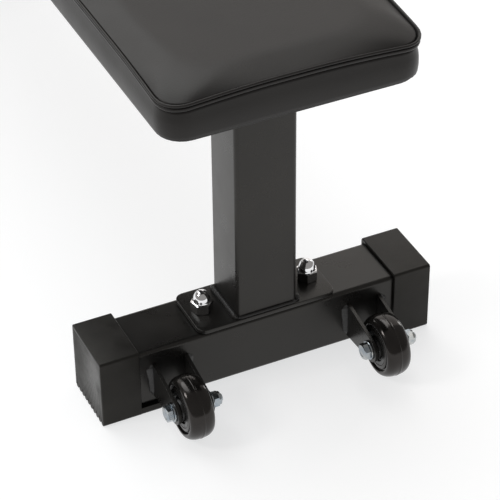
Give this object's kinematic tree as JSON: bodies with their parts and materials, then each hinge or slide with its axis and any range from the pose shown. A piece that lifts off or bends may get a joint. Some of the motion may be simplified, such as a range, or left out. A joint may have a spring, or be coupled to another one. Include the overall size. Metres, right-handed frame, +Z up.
{
  "type": "flat weight bench",
  "caption": "Flat weight bench: long padded vinyl top on a bolted steel post frame with rubber-capped cross feet, transport wheels at one end and a lift handle at the other.",
  "frame": {"origin": "on the floor, under the middle of the bench: the centre of the underside of its box", "axes": "+Z up; +Y along the bench, from the wheels towards the lift handle; +X across it, to the right of a person who stands at the wheel end and looks along the bench"},
  "size_m": [0.388, 1.206, 0.432],
  "materials": {
    "frame_paint": "satin black powder coat",
    "cap_rubber": "matte moulded rubber",
    "pad_vinyl": "fine-grained black vinyl with a soft sheen",
    "pad_foam": "open-cell foam",
    "plywood": "bare plywood",
    "dust_cloth": "black non-woven cloth",
    "chrome": "bright chrome",
    "zinc": "bright zinc plate",
    "tyre": "glossy black moulded tread",
    "wheel_core": "black nylon",
    "grip_rubber": "matte ribbed rubber"
  },
  "bodies": {
    "bench": {"front_base_plate": "frame_paint", "front_foot_tube": "frame_paint", "front_left_acorn_nut": "chrome", "front_left_base_bolt": "zinc", "front_left_foot_cap": "cap_rubber", "front_left_pad_bolt": "zinc", "front_left_pad_insert": "zinc", "front_left_pad_washer": "zinc", "front_pad_plate": "frame_paint", "front_post": "frame_paint", "front_right_acorn_nut": "chrome", "front_right_base_bolt": "zinc", "front_right_foot_cap": "cap_rubber", "front_right_pad_bolt": "zinc", "front_right_pad_insert": "zinc", "front_right_pad_washer": "zinc", "handle_grip": "grip_rubber", "left_wheel_axle_bolt": "zinc", "left_wheel_axle_sleeve": "zinc", "left_wheel_bolt_washer": "zinc", "left_wheel_left_ear": "frame_paint", "left_wheel_lock_nut": "zinc", "left_wheel_nut_washer": "zinc", "left_wheel_right_ear": "frame_paint", "lift_handle": "frame_paint", "pad_board": "plywood", "pad_cover": "pad_vinyl", "pad_dust_cloth": "dust_cloth", "pad_foam": "pad_foam", "pad_welt": "pad_vinyl", "rear_base_plate": "frame_paint", "rear_foot_tube": "frame_paint", "rear_left_acorn_nut": "chrome", "rear_left_base_bolt": "zinc", "rear_left_foot_cap": "cap_rubber", "rear_left_pad_bolt": "zinc", "rear_left_pad_insert": "zinc", "rear_left_pad_washer": "zinc", "rear_pad_plate": "frame_paint", "rear_post": "frame_paint", "rear_right_acorn_nut": "chrome", "rear_right_base_bolt": "zinc", "rear_right_foot_cap": "cap_rubber", "rear_right_pad_bolt": "zinc", "rear_right_pad_insert": "zinc", "rear_right_pad_washer": "zinc", "right_wheel_axle_bolt": "zinc", "right_wheel_axle_sleeve": "zinc", "right_wheel_bolt_washer": "zinc", "right_wheel_left_ear": "frame_paint", "right_wheel_lock_nut": "zinc", "right_wheel_nut_washer": "zinc", "right_wheel_right_ear": "frame_paint", "top_rail": "frame_paint"},
    "left_wheel": {"left_wheel_tyre": "tyre", "left_wheel_core": "wheel_core"},
    "right_wheel": {"right_wheel_tyre": "tyre", "right_wheel_core": "wheel_core"}
  },
  "joints": [
    {"name": "left_wheel_spin", "type": "hinge", "parent": "bench", "child": "left_wheel", "pos_m": [-0.1144, -0.568, 0.038], "axis": [1, 0, 0], "continuous": true},
    {"name": "right_wheel_spin", "type": "hinge", "parent": "bench", "child": "right_wheel", "pos_m": [0.1144, -0.568, 0.038], "axis": [1, 0, 0], "continuous": true}
  ]
}
